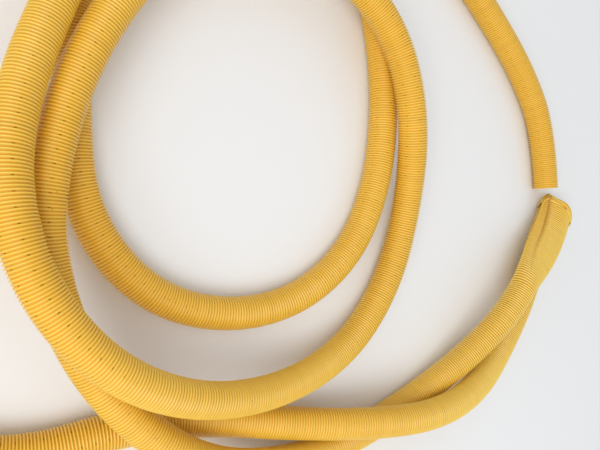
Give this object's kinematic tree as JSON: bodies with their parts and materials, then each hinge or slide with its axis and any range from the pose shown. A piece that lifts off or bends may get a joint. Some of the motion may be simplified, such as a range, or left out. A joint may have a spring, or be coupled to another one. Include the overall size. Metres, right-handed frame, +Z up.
{
  "type": "flexible corrugated pipe",
  "caption": "Loose coil of flexible corrugated land drain pipe, perforated, with square-cut ends and one kinked fold, lying flat.",
  "frame": {"origin": "on the floor under the centre of the whole coil's box", "axes": "+Z up from the floor that the coil lies on, +X towards the kinked fold and the free end beside it"},
  "size_m": [2.1734, 1.7225, 0.253],
  "materials": {
    "yellow_plastic": "satin"
  },
  "bodies": {
    "root": {"pipe": "yellow_plastic"}
  },
  "joints": []
}
